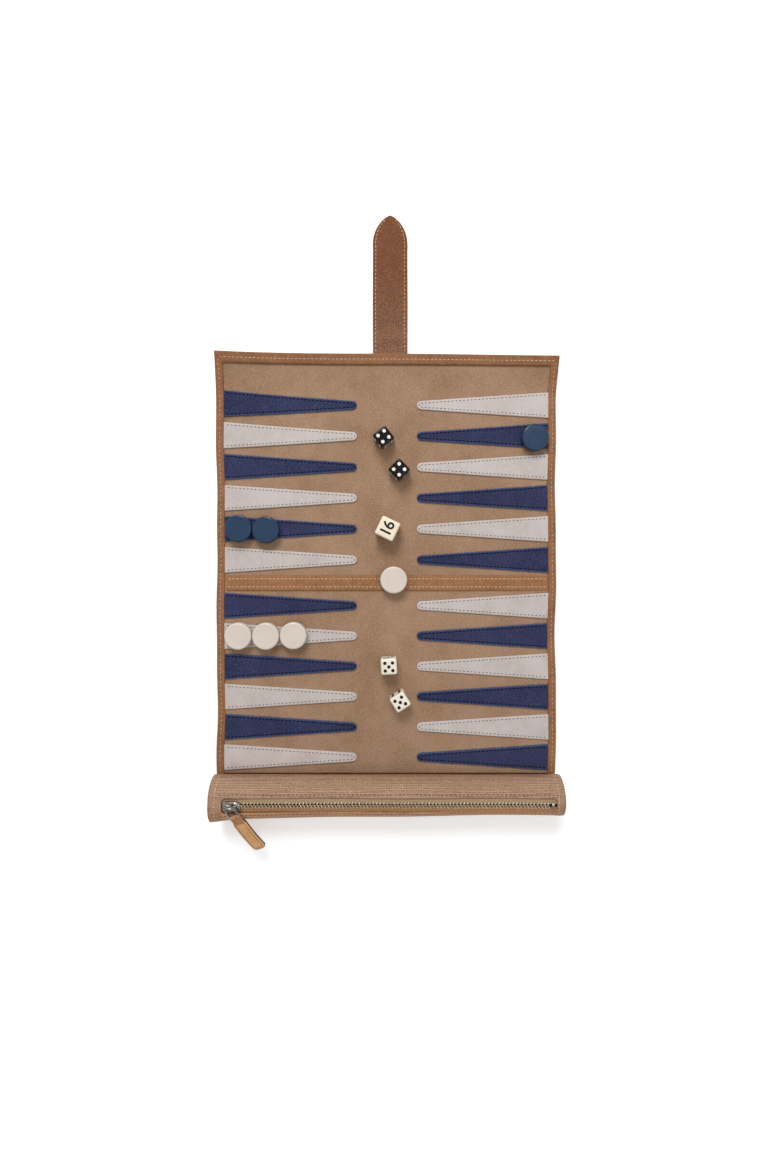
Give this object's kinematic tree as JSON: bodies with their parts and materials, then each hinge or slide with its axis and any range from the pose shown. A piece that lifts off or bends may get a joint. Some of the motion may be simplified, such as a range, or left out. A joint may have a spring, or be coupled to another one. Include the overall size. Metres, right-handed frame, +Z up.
{
  "type": "backgammon set",
  "caption": "Roll-up leather backgammon set, laid flat: a suede mat with tapered points, closing strap, zipped storage pouch, checkers, dice and doubling cube.",
  "frame": {"origin": "middle of the mat's bar on the mat's underside, where the flat set rests", "axes": "+Z up from the playing face, +Y from the pouch towards the closing strap, +X to the right as a player at the pouch sees it"},
  "size_m": [0.276, 0.515, 0.039],
  "materials": {
    "suede_lining": "napped suede",
    "binding_leather": "fine grained leather",
    "blue_suede": "napped suede",
    "white_leather": "smooth matt leather",
    "strap_leather": "pebbled leather",
    "bar_leather": "fine grained leather",
    "tab_leather": "smooth leather",
    "pouch_leather": "fine grained leather",
    "zip_metal": "polished",
    "zip_tape": "woven tape",
    "thread": "twisted thread",
    "blue_checker": "polished",
    "ivory_checker": "polished",
    "black_dice": "polished",
    "ivory_dice": "polished",
    "cube_ivory": "polished"
  },
  "bodies": {
    "mat_top_edge": {"mat_top_edge": "binding_leather"},
    "mat_row_01": {"mat_row_01": "suede_lining", "point_left_01": "blue_suede", "point_right_01": "white_leather"},
    "mat_row_02": {"mat_row_02": "suede_lining", "point_left_02": "white_leather", "point_right_02": "blue_suede"},
    "mat_row_03": {"mat_row_03": "suede_lining", "point_left_03": "blue_suede", "point_right_03": "white_leather"},
    "mat_row_04": {"mat_row_04": "suede_lining", "point_left_04": "white_leather", "point_right_04": "blue_suede"},
    "mat_row_05": {"mat_row_05": "suede_lining", "point_left_05": "blue_suede", "point_right_05": "white_leather"},
    "mat_row_06": {"mat_row_06": "suede_lining", "point_left_06": "white_leather", "point_right_06": "blue_suede", "centre_bar_strip": "bar_leather"},
    "mat_row_07": {"mat_row_07": "suede_lining", "point_left_07": "blue_suede", "point_right_07": "white_leather"},
    "mat_row_08": {"mat_row_08": "suede_lining", "point_left_08": "white_leather", "point_right_08": "blue_suede"},
    "mat_row_09": {"mat_row_09": "suede_lining", "point_left_09": "blue_suede", "point_right_09": "white_leather"},
    "mat_row_10": {"mat_row_10": "suede_lining", "point_left_10": "white_leather", "point_right_10": "blue_suede"},
    "mat_row_11": {"mat_row_11": "suede_lining", "point_left_11": "blue_suede", "point_right_11": "white_leather"},
    "mat_row_12": {"mat_row_12": "suede_lining", "point_left_12": "white_leather", "point_right_12": "blue_suede"},
    "strap_root": {"strap_root": "strap_leather"},
    "strap_middle": {"strap_middle": "strap_leather"},
    "strap_tip": {"strap_tip": "strap_leather"},
    "pouch": {"pouch_shell": "pouch_leather", "zip_chain": "zip_metal", "stored_checkers_blue": "blue_checker", "stored_checkers_white": "ivory_checker"},
    "zip_slider": {"zip_slider": "zip_metal"},
    "zip_pull_ring": {"zip_pull_ring": "zip_metal"},
    "zip_pull_tab": {"zip_pull_tab": "tab_leather"},
    "checker_blue_1": {"checker_blue_1": "blue_checker"},
    "checker_blue_2": {"checker_blue_2": "blue_checker"},
    "checker_blue_3": {"checker_blue_3": "blue_checker"},
    "checker_white_1": {"checker_white_1": "ivory_checker"},
    "checker_white_2": {"checker_white_2": "ivory_checker"},
    "checker_white_3": {"checker_white_3": "ivory_checker"},
    "checker_white_4": {"checker_white_4": "ivory_checker"},
    "die_black_1": {"die_black_1": "black_dice"},
    "die_black_2": {"die_black_2": "black_dice"},
    "die_white_1": {"die_white_1": "ivory_dice"},
    "die_white_2": {"die_white_2": "ivory_dice"},
    "doubling_cube": {"doubling_cube": "cube_ivory"}
  },
  "joints": [
    {"name": "fold_01", "type": "hinge", "parent": "mat_top_edge", "child": "mat_row_01", "pos_m": [0, 0.158, 0.003], "axis": [-1, 0, 0], "range_deg": [0, 50]},
    {"name": "fold_02", "type": "hinge", "parent": "mat_row_01", "child": "mat_row_02", "pos_m": [0, 0.1327, 0.003], "axis": [-1, 0, 0], "range_deg": [0, 8]},
    {"name": "fold_03", "type": "hinge", "parent": "mat_row_02", "child": "mat_row_03", "pos_m": [0, 0.1074, 0.003], "axis": [-1, 0, 0], "range_deg": [0, 27]},
    {"name": "fold_04", "type": "hinge", "parent": "mat_row_03", "child": "mat_row_04", "pos_m": [0, 0.0821, 0.003], "axis": [-1, 0, 0], "range_deg": [0, 50]},
    {"name": "fold_05", "type": "hinge", "parent": "mat_row_04", "child": "mat_row_05", "pos_m": [0, 0.0568, 0.003], "axis": [-1, 0, 0], "range_deg": [0, 50]},
    {"name": "fold_06", "type": "hinge", "parent": "mat_row_05", "child": "mat_row_06", "pos_m": [0, 0.0315, 0.003], "axis": [-1, 0, 0], "range_deg": [0, 50]},
    {"name": "fold_07", "type": "hinge", "parent": "mat_row_06", "child": "mat_row_07", "pos_m": [0, -0.0062, 0.003], "axis": [-1, 0, 0], "range_deg": [0, 33]},
    {"name": "fold_08", "type": "hinge", "parent": "mat_row_07", "child": "mat_row_08", "pos_m": [0, -0.031, 0.003], "axis": [-1, 0, 0], "range_deg": [0, 62]},
    {"name": "fold_09", "type": "hinge", "parent": "mat_row_08", "child": "mat_row_09", "pos_m": [0, -0.0558, 0.003], "axis": [-1, 0, 0], "range_deg": [0, 50]},
    {"name": "fold_10", "type": "hinge", "parent": "mat_row_09", "child": "mat_row_10", "pos_m": [0, -0.0806, 0.003], "axis": [-1, 0, 0], "range_deg": [0, 62]},
    {"name": "fold_11", "type": "hinge", "parent": "mat_row_10", "child": "mat_row_11", "pos_m": [0, -0.1054, 0.003], "axis": [-1, 0, 0], "range_deg": [0, 62]},
    {"name": "fold_12", "type": "hinge", "parent": "mat_row_11", "child": "mat_row_12", "pos_m": [0, -0.1302, 0.003], "axis": [-1, 0, 0], "range_deg": [0, 62]},
    {"name": "fold_pouch", "type": "hinge", "parent": "mat_row_12", "child": "pouch", "pos_m": [0, -0.155, 0.003], "axis": [-1, 0, 0], "range_deg": [0, 62]},
    {"name": "strap_bend_root", "type": "hinge", "parent": "mat_top_edge", "child": "strap_root", "pos_m": [0.0026, 0.1868, 0.0024], "axis": [1, 0, 0], "range_deg": [0, 40]},
    {"name": "strap_bend_middle", "type": "hinge", "parent": "strap_root", "child": "strap_middle", "pos_m": [0.0026, 0.2258, 0.0024], "axis": [1, 0, 0], "range_deg": [0, 50]},
    {"name": "strap_bend_tip", "type": "hinge", "parent": "strap_middle", "child": "strap_tip", "pos_m": [0.0026, 0.2648, 0.0024], "axis": [1, 0, 0], "range_deg": [0, 50]},
    {"name": "zip_travel", "type": "slide", "parent": "pouch", "child": "zip_slider", "axis": [1, 0, 0], "range_m": [0, 0.236]},
    {"name": "pull_swing", "type": "hinge", "parent": "zip_slider", "child": "zip_pull_ring", "pos_m": [-0.121, -0.17, 0.03586], "axis": [0, -0.4161, 0.9093], "range_deg": [0, 64]},
    {"name": "tab_lift", "type": "hinge", "parent": "zip_pull_ring", "child": "zip_pull_tab", "pos_m": [-0.11678, -0.17794, 0.03223], "axis": [-0.9003, -0.3958, -0.1811], "range_deg": [0, 15]},
    {"name": "checker_blue_1_off_board", "type": "slide", "parent": "mat_row_05", "child": "checker_blue_1", "axis": [-1, 0, 0], "range_m": [0, 0.082]},
    {"name": "checker_blue_2_off_board", "type": "slide", "parent": "mat_row_05", "child": "checker_blue_2", "axis": [0.9763, 0, 0.2164], "range_m": [0, 0.32]},
    {"name": "checker_blue_3_off_board", "type": "slide", "parent": "mat_row_02", "child": "checker_blue_3", "axis": [1, 0, 0], "range_m": [0, 0.066]},
    {"name": "checker_white_1_off_board", "type": "slide", "parent": "mat_row_08", "child": "checker_white_1", "axis": [-1, 0, 0], "range_m": [0, 0.045]},
    {"name": "checker_white_2_off_board", "type": "slide", "parent": "mat_row_08", "child": "checker_white_2", "axis": [0, 0, 1], "range_m": [0, 0.1]},
    {"name": "checker_white_3_off_board", "type": "slide", "parent": "mat_row_08", "child": "checker_white_3", "axis": [1, 0, 0], "range_m": [0, 0.228]},
    {"name": "checker_white_4_off_board", "type": "slide", "parent": "mat_row_06", "child": "checker_white_4", "axis": [1, 0, 0], "range_m": [0, 0.146]},
    {"name": "die_black_1_off_board", "type": "slide", "parent": "mat_row_02", "child": "die_black_1", "axis": [-0.9945, 0, 0.1045], "range_m": [0, 0.228]},
    {"name": "die_black_2_off_board", "type": "slide", "parent": "mat_row_03", "child": "die_black_2", "axis": [0.9945, 0, 0.1045], "range_m": [0, 0.152]},
    {"name": "die_white_1_off_board", "type": "slide", "parent": "mat_row_09", "child": "die_white_1", "axis": [-0.9945, 0, 0.1045], "range_m": [0, 0.1525]},
    {"name": "die_white_2_off_board", "type": "slide", "parent": "mat_row_10", "child": "die_white_2", "axis": [0.9945, 0, 0.1045], "range_m": [0, 0.15]},
    {"name": "doubling_cube_off_board", "type": "slide", "parent": "mat_row_05", "child": "doubling_cube", "axis": [-0.9903, 0, 0.1392], "range_m": [0, 0.176]}
  ]
}
